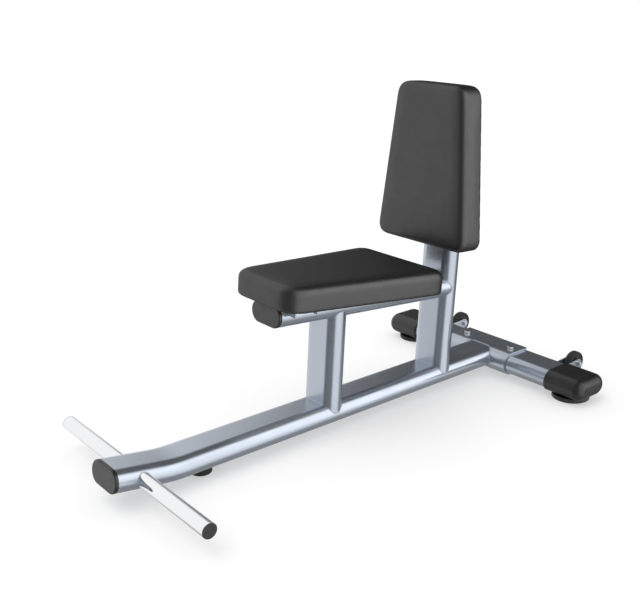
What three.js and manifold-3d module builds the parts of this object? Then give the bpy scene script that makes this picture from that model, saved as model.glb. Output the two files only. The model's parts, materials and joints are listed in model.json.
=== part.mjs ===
// Utility bench with a foot bar: an upright seat and backrest on a flat-oval steel tube frame,
// with a bolted-on rear stabiliser that carries two levelling feet and two transport wheels.
// Millimetres. +Z is up, -Y is the front (the foot bar end) and +X is the sitter's left.
// The origin is on the floor, under the centre of the bench's outline.
import * as THREE from 'three';
import { mergeVertices } from 'three/addons/utils/BufferGeometryUtils.js';
import Module from 'manifold-3d';

const wasm = await Module();
wasm.setup();

// ---------- driving dimensions ----------

const GAP = 0.3; // air between a piece and the one it is cut to fit or rests on
const ARC = 8; // segments in a quarter of a tube's round side
const THROUGH = 2; // how far a cutter runs past the face that it opens

const TUBE = { width: 120, height: 60, wall: 3 };
const BEAM_Z = 54; // height of the main beam's axis

const NOSE = { corner: -501, angle: 9, bendRadius: 400, length: 159 };
const BAR = { fromCorner: 92, radius: 19, wall: 2.5, halfLength: 338 };
const PLUG = { flange: 9, bevel: 3, insert: 24, clearance: 0.4, wall: 3 };
const FRONT_FOOT = { y: -401, radius: 29, headRadius: 10, screwRadius: 5 };

const LEAN = 3.6; // the uprights lean back by this many degrees
const FRONT_UPRIGHT_Y = 2;
const REAR_UPRIGHT = { y: 432, top: 790 };

const RAIL = { z: 307, tilt: 4.5, front: -180, rear: 451 }; // z is above the beam's axis, at Y = 0
const RAIL_AT_FRONT_UPRIGHT = 306;

const PAD = { narrow: 255, wide: 350, board: 15, boardInset: 14, boardClearance: 0.5 };
const SEAT = { front: -212, rear: 299, thickness: 68, edge: 20, frontCorner: 58, rearCorner: 46 };
const BACK = { bottom: 406, top: 857, thickness: 77, edge: 16, corner: 40 };

const EAR = { reach: 84, depth: 24, length: 75, thickness: 4, boltX: 70 };
const SEAT_EARS = { front: -121, rear: 209 };
const BACK_EARS = { lower: 490, upper: 730 };
const PAD_BOLT = { radius: 4, headRadius: 7.5, head: 5.3, grip: 12 };

const STABILISER = { y: 694, z: BEAM_Z - 5.5, halfLength: 370 };
const SLEEVE = { halfLength: 120, rear: 44, wall: 5, clearance: 0.6, corner: 6 };
const SLEEVE_BOLT = { x: 90, radius: 6, headRadius: 10.9, head: 7.5, nut: 7, tail: 1 };

const CAP = { inner: 270, outer: 398, width: 132, height: 66.4, round: 26, pocket: 371 };
const FOOT = { x: 324, radius: 55.7, ridges: 48, ridge: 1.4, bottom: 1.5, top: 14.6, shoulder: 4 };
const SOLE = { radius: 48, thickness: 4.6, post: 6, postTop: 9 };
const STUD = { radius: 8, top: 48, clearance: 0.4 };
const BOSS = { radius: 14, height: 32 };

const WHEEL = { x: 237, y: 822, z: 49.3, radius: 36, width: 26, core: 26, shoulder: 7, bore: 4.3 };
const FORK = { inner: 14.5, thickness: 5, round: 16, root: 11, reach: 90 };
const AXLE = { radius: 4, headRadius: 7.5, head: 5.3, nut: 8, tail: 2 };

// ---------- materials ----------

const paint = { color: 0xaab4c4, roughness: 0.35, metalness: 0.7 };
const chrome = { color: 0xf2f4f6, roughness: 0.08, metalness: 1 };
const zinc = { color: 0xa7a9ab, roughness: 0.35, metalness: 0.9 };
const vinyl = { color: 0x3a3a3a, roughness: 0.55, metalness: 0 };
const plastic = { color: 0x2b2b2b, roughness: 0.5, metalness: 0 };
const rubber = { color: 0x1e1e1e, roughness: 0.85, metalness: 0 };
const plywood = { color: 0xb08d5c, roughness: 0.8, metalness: 0 };

// ---------- outlines ----------

/** A flat oval: two half rounds joined by flats, wide along the outline's x. */
function flatOval(width, height) {
  const radius = height / 2;
  const flat = width / 2 - radius;
  const shape = new THREE.Shape();
  shape.moveTo(-flat, -radius);
  shape.lineTo(flat, -radius);
  shape.absarc(flat, 0, radius, -Math.PI / 2, Math.PI / 2, false);
  shape.lineTo(-flat, radius);
  shape.absarc(-flat, 0, radius, Math.PI / 2, 1.5 * Math.PI, false);
  return shape;
}

/** The outside of the frame's tube, made larger all round by grow. */
const tubeOval = (grow = 0) => flatOval(TUBE.width + 2 * grow, TUBE.height + 2 * grow);

function disc(radius) {
  const shape = new THREE.Shape();
  shape.absarc(0, 0, radius, 0, 2 * Math.PI, false);
  return shape;
}

function hexagon(radius) {
  const corners = [];
  for (let i = 0; i < 6; i++) {
    const angle = (i * Math.PI) / 3;
    corners.push(new THREE.Vector2(radius * Math.cos(angle), radius * Math.sin(angle)));
  }
  return new THREE.Shape(corners);
}

function rectangle(x0, x1, y0, y1) {
  return new THREE.Shape([
    new THREE.Vector2(x0, y0),
    new THREE.Vector2(x1, y0),
    new THREE.Vector2(x1, y1),
    new THREE.Vector2(x0, y1),
  ]);
}

/** A polygon whose corners are rounded, each starting its curve at its own distance from the corner. */
function roundedPolygon(corners) {
  const shape = new THREE.Shape();
  corners.forEach(([x, y, start], i) => {
    const corner = new THREE.Vector2(x, y);
    const before = new THREE.Vector2(...corners.at(i - 1)).sub(corner).setLength(start);
    const after = new THREE.Vector2(...corners.at((i + 1) % corners.length)).sub(corner);
    after.setLength(start).add(corner);
    before.add(corner);
    if (i === 0) shape.moveTo(before.x, before.y);
    else shape.lineTo(before.x, before.y);
    shape.quadraticCurveTo(x, y, after.x, after.y);
  });
  shape.closePath();
  return shape;
}

/** A pad's outline, width0 wide at y0 and width1 wide at y1, made smaller all round by inset. */
function padOutline(width0, width1, y0, y1, corner0, corner1, inset = 0) {
  const half0 = width0 / 2 - inset;
  const half1 = width1 / 2 - inset;
  return roundedPolygon([
    [-half0, y0 + inset, corner0 - inset],
    [half0, y0 + inset, corner0 - inset],
    [half1, y1 - inset, corner1 - inset],
    [-half1, y1 - inset, corner1 - inset],
  ]);
}

// ---------- solids ----------

function solidOf(geometry) {
  const bare = geometry.clone();
  bare.deleteAttribute('normal');
  bare.deleteAttribute('uv');
  const merged = mergeVertices(bare, 1e-4);
  const vertProperties = merged.attributes.position.array;
  const triVerts = new Uint32Array(merged.index.array);
  return new wasm.Manifold(new wasm.Mesh({ numProp: 3, vertProperties, triVerts }));
}

function geometryOf(solid) {
  const { vertProperties, triVerts } = solid.getMesh();
  const geometry = new THREE.BufferGeometry();
  geometry.setAttribute('position', new THREE.BufferAttribute(vertProperties, 3));
  geometry.setIndex(new THREE.BufferAttribute(triVerts, 1));
  geometry.computeVertexNormals();
  return geometry;
}

/** An outline extruded by depth, with rounded rims of radius bevel inside its outer size. */
function extruded(shape, depth, bevel = 0, curveSegments = ARC) {
  const options = { depth, curveSegments, bevelEnabled: false };
  if (bevel > 0) {
    options.depth = depth - 2 * bevel;
    options.bevelEnabled = true;
    options.bevelSize = bevel;
    options.bevelThickness = bevel;
    options.bevelOffset = -bevel;
    options.bevelSegments = Math.ceil(2 + bevel / 13);
  }
  return new THREE.ExtrudeGeometry(shape, options).translate(0, 0, bevel);
}

/** Extrudes from z0 to z1: the outline's x and y stay X and Y. */
function alongZ(shape, z0, z1, bevel = 0, segments = ARC) {
  return solidOf(extruded(shape, z1 - z0, bevel, segments).translate(0, 0, z0));
}

/** Extrudes from y1 back to y0: the outline's x and y become X and Z. */
function alongY(shape, y0, y1, bevel = 0, segments = ARC) {
  return solidOf(extruded(shape, y1 - y0, bevel, segments).rotateX(Math.PI / 2).translate(0, y1, 0));
}

/** Extrudes from x0 to x1: the outline's x and y become Y and Z. */
function alongX(shape, x0, x1, bevel = 0, segments = ARC) {
  const turn = new THREE.Matrix4().makeBasis(
    new THREE.Vector3(0, 1, 0),
    new THREE.Vector3(0, 0, 1),
    new THREE.Vector3(1, 0, 0),
  );
  return solidOf(extruded(shape, x1 - x0, bevel, segments).applyMatrix4(turn).translate(x0, 0, 0));
}

/** A large block that starts at a plane and fills the side that direction points to. */
function blockBeyond(direction, at) {
  const size = 3000;
  const centre = direction.map((d) => (d * size) / 2 + Math.abs(d) * at);
  return solidOf(new THREE.BoxGeometry(size, size, size).translate(...centre));
}

/** A turned part: [radius, height] points from the axis round to the axis, about Z. */
function turned(profile, segments = 32) {
  const points = profile.map(([radius, height]) => new THREE.Vector2(radius, height));
  return solidOf(new THREE.LatheGeometry(points, segments).rotateX(Math.PI / 2));
}

// ---------- frames of reference ----------

/** A frame whose Y and Z axes are turned back about X by tilt degrees. */
function frameAt(x, y, z, tilt = 0) {
  const group = new THREE.Group();
  group.position.set(x, y, z);
  group.rotation.x = -THREE.MathUtils.degToRad(tilt);
  group.updateMatrixWorld();
  return group;
}

const beamFrame = frameAt(0, 0, BEAM_Z);
const noseFrame = frameAt(0, NOSE.corner, BEAM_Z, NOSE.angle);
const seatFrame = frameAt(0, 0, BEAM_Z + RAIL.z, RAIL.tilt);
const frontUprightFrame = frameAt(0, FRONT_UPRIGHT_Y, BEAM_Z, LEAN);
const backFrame = frameAt(0, REAR_UPRIGHT.y, BEAM_Z, LEAN);
const stabiliserFrame = frameAt(0, STABILISER.y, STABILISER.z);
const floorFrame = frameAt(0, 0, 0);

/** A solid made in one frame, as seen from another. */
function seenFrom(to, from, solid) {
  const matrix = to.matrixWorld.clone().invert().multiply(from.matrixWorld);
  return solid.transform(matrix.elements);
}

function add(parent, name, solid, finish) {
  const mesh = new THREE.Mesh(geometryOf(solid), new THREE.MeshStandardMaterial(finish));
  mesh.name = name;
  parent.add(mesh);
}

// ---------- main beam ----------

/** The beam's axis from the stabiliser to the front end, with its upward bend. */
class BeamAxis extends THREE.Curve {
  constructor(overrun = 0) {
    super();
    this.arcSteps = 4;
    this.steps = this.arcSteps + 2;
    this.angle = THREE.MathUtils.degToRad(NOSE.angle);
    const tangent = NOSE.bendRadius * Math.tan(this.angle / 2);
    this.rear = new THREE.Vector3(0, STABILISER.y + overrun, 0);
    this.bendStart = new THREE.Vector3(0, NOSE.corner + tangent, 0);
    this.bendEnd = this.along(tangent);
    this.front = this.along(NOSE.length + overrun);
  }

  /** The point on the bent-up stretch, at a distance from the corner. */
  along(distance) {
    const direction = new THREE.Vector3(0, -Math.cos(this.angle), Math.sin(this.angle));
    return direction.multiplyScalar(distance).add(new THREE.Vector3(0, NOSE.corner, 0));
  }

  turn(t) {
    const share = THREE.MathUtils.clamp((t * this.steps - 1) / this.arcSteps, 0, 1);
    return share * this.angle;
  }

  getPointAt(t) {
    const step = t * this.steps;
    if (step <= 1) return this.rear.clone().lerp(this.bendStart, step);
    if (step >= this.steps - 1) return this.front.clone().lerp(this.bendEnd, this.steps - step);
    const a = this.turn(t);
    const offset = new THREE.Vector3(0, -Math.sin(a), 1 - Math.cos(a));
    return offset.multiplyScalar(NOSE.bendRadius).add(this.bendStart);
  }

  getTangentAt(t) {
    const a = this.turn(t);
    return new THREE.Vector3(0, -Math.cos(a), Math.sin(a));
  }
}

function beamBody(shape, overrun) {
  // The sweep lays the outline's x along the beam's height, so the outline is turned first.
  const points = shape.getPoints(ARC).map((p) => new THREE.Vector2(p.y, -p.x));
  const axis = new BeamAxis(overrun);
  const options = { steps: axis.steps, extrudePath: axis };
  return solidOf(new THREE.ExtrudeGeometry(new THREE.Shape(points), options));
}

const beamOuter = beamBody(tubeOval(), 0);
const barCentre = new BeamAxis().along(BAR.fromCorner);

function mainBeam() {
  const barHole = alongX(disc(BAR.radius + GAP), -TUBE.width, TUBE.width, 0, 16);
  const screwHole = alongZ(disc(7.8), -TUBE.height, 0, 0, 12).translate(0, FRONT_FOOT.y, 0);
  return beamOuter
    .subtract(beamBody(tubeOval(-TUBE.wall), THROUGH))
    .subtract(barHole.translate(0, barCentre.y, barCentre.z))
    .subtract(screwHole)
    .subtract(seenFrom(beamFrame, stabiliserFrame, sleeveOuter(GAP)));
}

/** A push-in end plug: a bevelled flange over the tube's end and a hollow insert. It faces -Y. */
function endPlug() {
  const { flange, bevel, insert, clearance, wall } = PLUG;
  const inside = -TUBE.wall - clearance;
  const face = alongY(tubeOval(), -flange, flange, bevel).subtract(blockBeyond([0, 1, 0], -GAP));
  const neck = alongY(tubeOval(inside), -flange / 2, insert, 0, ARC / 2);
  const hollow = alongY(tubeOval(inside - wall), 0, insert + THROUGH, 0, ARC / 2);
  return face.add(neck).subtract(hollow);
}

// ---------- foot bar ----------

function footBar() {
  const half = BAR.halfLength - 2;
  const bore = alongX(disc(BAR.radius - BAR.wall), -half - THROUGH, half + THROUGH, 0, 16);
  return alongX(disc(BAR.radius), -half, half, 0, 16).subtract(bore);
}

/** The flat plug in the bar's +X end. */
function barPlug() {
  const half = BAR.halfLength - 2;
  const insert = alongX(disc(BAR.radius - BAR.wall - 0.3), half - 15, half + 1, 0, 16);
  return alongX(disc(BAR.radius), half + GAP, BAR.halfLength, 0, 16).add(insert);
}

// ---------- front foot ----------

function frontFoot() {
  const { radius, headRadius, screwRadius } = FRONT_FOOT;
  const top = BEAM_Z - TUBE.height / 2 - GAP;
  return turned([
    [headRadius + 1, 0],
    [radius - 4, 0],
    [radius - 1.2, 1.2],
    [radius, 4],
    [radius, top],
    [screwRadius + GAP, top],
    [screwRadius + GAP, 11],
    [headRadius + 1, 11],
    [headRadius + 1, 0],
  ]);
}

function frontFootScrew() {
  const { headRadius, screwRadius } = FRONT_FOOT;
  return turned([
    [0, 4],
    [headRadius - 1.5, 4],
    [headRadius, 5.5],
    [headRadius, 10.5],
    [screwRadius, 10.5],
    [screwRadius, 46],
    [0, 46],
  ], 24);
}

/** The threaded insert that is riveted into the beam's lower wall and takes the screw. */
function frontFootInsert() {
  const under = BEAM_Z - TUBE.height / 2 + TUBE.wall + GAP;
  const bore = FRONT_FOOT.screwRadius + 0.2;
  return turned([
    [bore, under - TUBE.wall],
    [7.5, under - TUBE.wall],
    [7.5, under],
    [10, under],
    [10, under + 4],
    [7.5, under + 6],
    [7.5, under + 14],
    [bore, under + 14],
    [bore, under - TUBE.wall],
  ], 16);
}

// ---------- uprights and seat rail ----------

function upright(frame, top) {
  return alongZ(tubeOval(), 0, top)
    .subtract(alongZ(tubeOval(-TUBE.wall), -THROUGH, top + THROUGH))
    .subtract(seenFrom(frame, beamFrame, alongY(tubeOval(GAP), -300, 650)));
}

function frontUpright() {
  const rail = seenFrom(frontUprightFrame, seatFrame, alongY(tubeOval(GAP), -300, 300));
  return upright(frontUprightFrame, RAIL_AT_FRONT_UPRIGHT).subtract(rail);
}

function seatRail() {
  const post = seenFrom(seatFrame, backFrame, alongZ(tubeOval(GAP), 0, REAR_UPRIGHT.top));
  return alongY(tubeOval(), RAIL.front, RAIL.rear)
    .subtract(alongY(tubeOval(-TUBE.wall), RAIL.front - THROUGH, RAIL.rear + THROUGH))
    .subtract(post);
}

// ---------- pad brackets and bolts ----------

/** A folded steel ear on the +X side of a tube that runs along Y. Its top is flush with the tube. */
function seatEar() {
  const top = TUBE.height / 2;
  const half = EAR.length / 2;
  const inner = half - EAR.thickness;
  const outside = alongX(rectangle(-half, half, top - EAR.depth, top), 0, EAR.reach);
  const inside = alongX(
    rectangle(-inner, inner, top - EAR.depth - THROUGH, top - EAR.thickness),
    -THROUGH,
    EAR.reach + THROUGH,
  );
  const hole = alongZ(disc(PAD_BOLT.radius + 0.5), 0, top + THROUGH, 0, 8);
  return outside
    .subtract(inside)
    .subtract(hole.translate(EAR.boltX, 0, 0))
    .subtract(alongY(tubeOval(GAP), -half - THROUGH, half + THROUGH));
}

/** The hex bolt that pulls a pad's board down on an ear, in the same place as seatEar. */
function padBolt() {
  const under = TUBE.height / 2 - EAR.thickness - GAP;
  const end = TUBE.height / 2 + PAD_BOLT.grip;
  return alongZ(hexagon(PAD_BOLT.headRadius), under - PAD_BOLT.head, under)
    .add(alongZ(disc(PAD_BOLT.radius), under - 1, end, 0, 8))
    .translate(EAR.boltX, 0, 0);
}

/** Lays what was made for a tube along Y on a tube along Z whose pad faces -Y. */
const stoodUp = (solid) => solid.rotate([90, 0, 0]);

/** Adds one piece per ear, on both sides. */
function addAtEars(frame, prefix, solid, ears, toPlace, finish) {
  for (const [where, distance] of Object.entries(ears)) {
    const left = solid.translate(...toPlace(distance));
    add(frame, `${prefix}_${where}_left`, left, finish);
    add(frame, `${prefix}_${where}_right`, left.mirror([1, 0, 0]), finish);
  }
}

// ---------- pads ----------

/** A cushion block and its board, both along +Z from the plane z = 0, with bolt holes in the board. */
function padAndBoard(outline, thickness, edge, boltPlaces) {
  const below = alongZ(rectangle(-400, 400, -1000, 1000), -100, 0);
  const slack = PAD.boardClearance;
  const pocket = alongZ(outline(PAD.boardInset - slack), -THROUGH, PAD.board + slack, 0, 4);
  const pad = alongZ(outline(0), -edge, thickness, edge, 6).subtract(below).subtract(pocket);
  let board = alongZ(outline(PAD.boardInset), 0, PAD.board, 0, 4);
  for (const [x, y] of boltPlaces) {
    const hole = alongZ(disc(PAD_BOLT.radius + GAP), -THROUGH, PAD.board + THROUGH, 0, 8);
    board = board.subtract(hole.translate(x, y, 0));
  }
  return { pad, board };
}

const boltPlacesAt = (ears) =>
  Object.values(ears).flatMap((y) => [[EAR.boltX, y], [-EAR.boltX, y]]);

function seatPadAndBoard() {
  const { front, rear, frontCorner, rearCorner, thickness, edge } = SEAT;
  const outline = (inset) =>
    padOutline(PAD.narrow, PAD.wide, front, rear, frontCorner, rearCorner, inset);
  return padAndBoard(outline, thickness, edge, boltPlacesAt(SEAT_EARS));
}

function backPadAndBoard() {
  const { bottom, top, corner, thickness, edge } = BACK;
  const outline = (inset) => padOutline(PAD.wide, PAD.narrow, bottom, top, corner, corner, inset);
  return padAndBoard(outline, thickness, edge, boltPlacesAt(BACK_EARS));
}

// ---------- stabiliser ----------

/** The saddle's section: a folded plate with a round front and an open rear, filled or hollow. */
function saddleSection(height) {
  const flat = (TUBE.width - TUBE.height) / 2;
  const shape = new THREE.Shape();
  shape.moveTo(SLEEVE.rear, height);
  shape.lineTo(-flat, height);
  shape.absarc(-flat, 0, height, Math.PI / 2, 1.5 * Math.PI, false);
  shape.lineTo(SLEEVE.rear, -height);
  shape.closePath();
  return shape;
}

const sleeveInside = TUBE.height / 2 + SLEEVE.clearance;

function sleeveOuter(grow = 0) {
  const section = saddleSection(sleeveInside + SLEEVE.wall + grow);
  return alongX(section, -SLEEVE.halfLength, SLEEVE.halfLength);
}

/** A round hole or shank on each of the sleeve's two bolt lines. */
function atBolts(make) {
  return make().translate(SLEEVE_BOLT.x, 0, 0).add(make().translate(-SLEEVE_BOLT.x, 0, 0));
}

const boltHoles = () => atBolts(() => alongZ(disc(SLEEVE_BOLT.radius + 0.5), -60, 60, 0, 12));

function sleeve() {
  const half = SLEEVE.halfLength;
  const front = -TUBE.width;
  const plan = roundedPolygon([
    [-half, front, 1],
    [half, front, 1],
    [half, SLEEVE.rear, SLEEVE.corner],
    [-half, SLEEVE.rear, SLEEVE.corner],
  ]);
  const channel = rectangle(0, SLEEVE.rear + THROUGH, -sleeveInside, sleeveInside);
  return sleeveOuter()
    .subtract(alongX(saddleSection(sleeveInside), -half - THROUGH, half + THROUGH))
    .subtract(alongX(channel, -half - THROUGH, half + THROUGH))
    .intersect(alongZ(plan, -TUBE.height, TUBE.height, 0, 4))
    .subtract(boltHoles());
}

function stabiliserTube() {
  const half = STABILISER.halfLength;
  let tube = alongX(tubeOval(), -half, half)
    .subtract(alongX(tubeOval(-TUBE.wall), -half - THROUGH, half + THROUGH))
    .subtract(boltHoles());
  for (const x of [FOOT.x, -FOOT.x]) {
    const hole = alongZ(disc(BOSS.radius + GAP), -TUBE.height, 0, 0, 12);
    tube = tube.subtract(hole.translate(x, 0, 0));
  }
  return tube;
}

const sleeveTop = sleeveInside + SLEEVE.wall;

function sleeveBolt() {
  const { radius, headRadius, head, nut, tail } = SLEEVE_BOLT;
  const seat = sleeveTop + GAP;
  return alongZ(hexagon(headRadius), seat, seat + head)
    .add(alongZ(disc(radius), -sleeveTop - nut - tail, seat + 1, 0, 12));
}

function sleeveNut() {
  const { radius, headRadius, nut } = SLEEVE_BOLT;
  const seat = -sleeveTop - GAP;
  return alongZ(hexagon(headRadius), seat - nut, seat)
    .subtract(alongZ(disc(radius + 0.2), seat - nut - THROUGH, seat + THROUGH, 0, 12));
}

// ---------- stabiliser ends: end cap, threaded boss, levelling foot and sole ----------

function stabiliserCap() {
  const { inner, outer, width, height, round, pocket } = CAP;
  return alongX(flatOval(width, height), inner - round, outer, round)
    .subtract(blockBeyond([-1, 0, 0], inner))
    .subtract(alongX(tubeOval(GAP), inner - THROUGH, pocket))
    .subtract(alongZ(disc(BOSS.radius + 1), -TUBE.height, 0, 0, 12).translate(FOOT.x, 0, 0));
}

function boss() {
  const base = -TUBE.height / 2;
  return alongZ(disc(BOSS.radius), base, base + BOSS.height, 0, 12)
    .subtract(alongZ(disc(STUD.radius + STUD.clearance), base - THROUGH, THROUGH * 2, 0, 12));
}

/** The hand-turned foot: a ridged disc with a rounded lower rim, and the stud on top of it. */
function levellingFoot() {
  const { radius, ridges, ridge, bottom, top, shoulder } = FOOT;
  const outline = [];
  for (let i = 0; i < 2 * ridges; i++) {
    const angle = (i * Math.PI) / ridges;
    const reach = i % 2 ? radius : radius - ridge;
    outline.push(new THREE.Vector2(reach * Math.cos(angle), reach * Math.sin(angle)));
  }
  const envelope = turned([
    [0, bottom],
    [radius - shoulder, bottom],
    [radius, bottom + shoulder],
    [radius, top],
    [STUD.radius, top],
    [STUD.radius, STUD.top - 1.5],
    [STUD.radius - 1.5, STUD.top],
    [0, STUD.top],
  ], FOOT.ridges);
  const underside = turned([
    [0, bottom - THROUGH],
    [SOLE.radius + 0.5, bottom - THROUGH],
    [SOLE.radius + 0.5, SOLE.thickness + 0.4],
    [SOLE.post + 0.4, SOLE.thickness + 0.4],
    [SOLE.post + 0.4, SOLE.postTop + 0.4],
    [0, SOLE.postTop + 0.4],
  ]);
  return alongZ(new THREE.Shape(outline), 0, STUD.top).intersect(envelope).subtract(underside);
}

function sole() {
  const { radius, thickness, post, postTop } = SOLE;
  return turned([
    [0, 0],
    [radius - 1, 0],
    [radius, 1],
    [radius, thickness],
    [post, thickness],
    [post, postTop],
    [0, postTop],
  ]);
}

// ---------- transport wheels, about the wheel's centre with the axle along X ----------

/** Turns a part made about Z on to the X axis. */
const ontoX = (solid) => solid.rotate([0, 90, 0]);

function tyre() {
  const { radius, width, core, shoulder } = WHEEL;
  const half = width / 2;
  const rim = [];
  const stepsRound = 3;
  for (const end of [-1, 1]) {
    for (let i = 0; i <= stepsRound; i++) {
      const share = end < 0 ? i / stepsRound : 1 - i / stepsRound;
      const angle = (share * Math.PI) / 2;
      const reach = radius - shoulder * (1 - Math.sin(angle));
      rim.push([reach, end * (half - shoulder * (1 - Math.cos(angle)))]);
    }
  }
  const inner = core + GAP;
  return ontoX(turned([[inner, -half], ...rim, [inner, half], [inner, -half]]));
}

function hub() {
  const { width, core, bore } = WHEEL;
  const half = width / 2;
  return ontoX(turned([
    [bore, -half],
    [10, -half],
    [12, 1.5 - half],
    [core, 1.5 - half],
    [core, half - 1.5],
    [12, half - 1.5],
    [10, half],
    [bore, half],
    [bore, -half],
  ]));
}

/** The fork plate on the +X side of the wheel, running back from the stabiliser. */
function forkPlate(side) {
  const { inner, thickness, round, root, reach } = FORK;
  const shape = new THREE.Shape();
  shape.moveTo(-reach, -root);
  shape.lineTo(0, -round);
  shape.absarc(0, 0, round, -Math.PI / 2, Math.PI / 2, false);
  shape.lineTo(-reach, root);
  shape.closePath();
  const from = side > 0 ? inner : -inner - thickness;
  const stabiliser = alongX(tubeOval(GAP), -TUBE.width, TUBE.width);
  return alongX(shape, from, from + thickness)
    .subtract(alongX(disc(AXLE.radius + 0.3), -TUBE.width, TUBE.width, 0, 8))
    .subtract(stabiliser.translate(0, STABILISER.y - WHEEL.y, STABILISER.z - WHEEL.z));
}

function axleBolt() {
  const outside = FORK.inner + FORK.thickness + GAP;
  return alongX(hexagon(AXLE.headRadius), -outside - AXLE.head, -outside)
    .add(alongX(disc(AXLE.radius), -outside - 1, outside + AXLE.nut + AXLE.tail, 0, 8));
}

function axleNut() {
  const outside = FORK.inner + FORK.thickness + GAP;
  return alongX(hexagon(AXLE.headRadius), outside, outside + AXLE.nut)
    .subtract(alongX(disc(AXLE.radius + 0.2), 0, outside + AXLE.nut + THROUGH, 0, 8));
}

// ---------- assembly ----------

function buildFrame() {
  add(beamFrame, 'main_beam', mainBeam(), paint);
  const nosePlug = endPlug().translate(0, -NOSE.length, 0);
  add(noseFrame, 'beam_end_plug', nosePlug, plastic);

  const bar = frameAt(0, barCentre.y, barCentre.z);
  beamFrame.add(bar);
  add(bar, 'foot_bar', footBar(), chrome);
  add(bar, 'foot_bar_plug_left', barPlug(), plastic);
  add(bar, 'foot_bar_plug_right', barPlug().mirror([1, 0, 0]), plastic);

  const foot = frameAt(0, FRONT_FOOT.y, 0);
  floorFrame.add(foot);
  add(foot, 'front_foot', frontFoot(), rubber);
  add(foot, 'front_foot_screw', frontFootScrew(), zinc);
  add(foot, 'front_foot_insert', frontFootInsert(), zinc);

  add(frontUprightFrame, 'front_upright', frontUpright(), paint);
  add(backFrame, 'rear_upright', upright(backFrame, REAR_UPRIGHT.top), paint);
  const topPlug = endPlug().rotate([-90, 0, 0]).translate(0, 0, REAR_UPRIGHT.top);
  add(backFrame, 'rear_upright_plug', topPlug, plastic);
  add(seatFrame, 'seat_rail', seatRail(), paint);
  add(seatFrame, 'seat_rail_plug', endPlug().translate(0, RAIL.front, 0), plastic);
}

function buildSeat() {
  const alongRail = (y) => [0, y, 0];
  addAtEars(seatFrame, 'seat_bracket', seatEar(), SEAT_EARS, alongRail, paint);
  addAtEars(seatFrame, 'seat_bolt', padBolt(), SEAT_EARS, alongRail, zinc);
  const { pad, board } = seatPadAndBoard();
  const rest = TUBE.height / 2 + GAP;
  add(seatFrame, 'seat_board', board.translate(0, 0, rest), plywood);
  add(seatFrame, 'seat_pad', pad.translate(0, 0, rest), vinyl);
}

function buildBackrest() {
  const alongPost = (z) => [0, 0, z];
  addAtEars(backFrame, 'back_bracket', stoodUp(seatEar()), BACK_EARS, alongPost, paint);
  addAtEars(backFrame, 'back_bolt', stoodUp(padBolt()), BACK_EARS, alongPost, zinc);
  const { pad, board } = backPadAndBoard();
  const rest = -TUBE.height / 2 - GAP;
  add(backFrame, 'back_board', stoodUp(board).translate(0, rest, 0), plywood);
  add(backFrame, 'back_pad', stoodUp(pad).translate(0, rest, 0), vinyl);
}

function buildStabiliser() {
  add(stabiliserFrame, 'stabiliser_sleeve', sleeve(), paint);
  add(stabiliserFrame, 'stabiliser_tube', stabiliserTube(), paint);
  for (const [side, name] of [[1, 'left'], [-1, 'right']]) {
    const bolt = frameAt(side * SLEEVE_BOLT.x, 0, 0);
    stabiliserFrame.add(bolt);
    add(bolt, `sleeve_bolt_${name}`, sleeveBolt(), zinc);
    add(bolt, `sleeve_nut_${name}`, sleeveNut(), zinc);

    const cap = side === 1 ? stabiliserCap() : stabiliserCap().mirror([1, 0, 0]);
    add(stabiliserFrame, `stabiliser_cap_${name}`, cap, plastic);
    add(stabiliserFrame, `foot_boss_${name}`, boss().translate(side * FOOT.x, 0, 0), zinc);

    const foot = frameAt(side * FOOT.x, STABILISER.y, 0);
    floorFrame.add(foot);
    add(foot, `levelling_foot_${name}`, levellingFoot(), plastic);
    add(foot, `foot_sole_${name}`, sole(), rubber);
  }
}

function buildWheels() {
  for (const [side, name] of [[1, 'left'], [-1, 'right']]) {
    const wheel = frameAt(side * WHEEL.x, WHEEL.y, WHEEL.z);
    floorFrame.add(wheel);
    add(wheel, `wheel_tyre_${name}`, tyre(), rubber);
    add(wheel, `wheel_hub_${name}`, hub(), plastic);
    add(wheel, `fork_plate_nut_side_${name}`, forkPlate(1), paint);
    add(wheel, `fork_plate_head_side_${name}`, forkPlate(-1), paint);
    add(wheel, `axle_bolt_${name}`, axleBolt(), zinc);
    add(wheel, `axle_nut_${name}`, axleNut(), zinc);
  }
}

buildFrame();
buildSeat();
buildBackrest();
buildStabiliser();
buildWheels();

const bench = new THREE.Group();
bench.add(floorFrame, beamFrame, noseFrame, seatFrame, frontUprightFrame, backFrame, stabiliserFrame);
const outline = new THREE.Box3().setFromObject(bench, true);
bench.position.y = -(outline.min.y + outline.max.y) / 2;

export default bench;
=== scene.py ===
"""The looks of the utility bench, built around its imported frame.

Metres. +Z is up, -Y is the front (the foot bar end) and +X is the sitter's left.
"""

import json
import math
from collections import namedtuple

import bmesh
import bpy
from mathutils import Matrix, Vector

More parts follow.
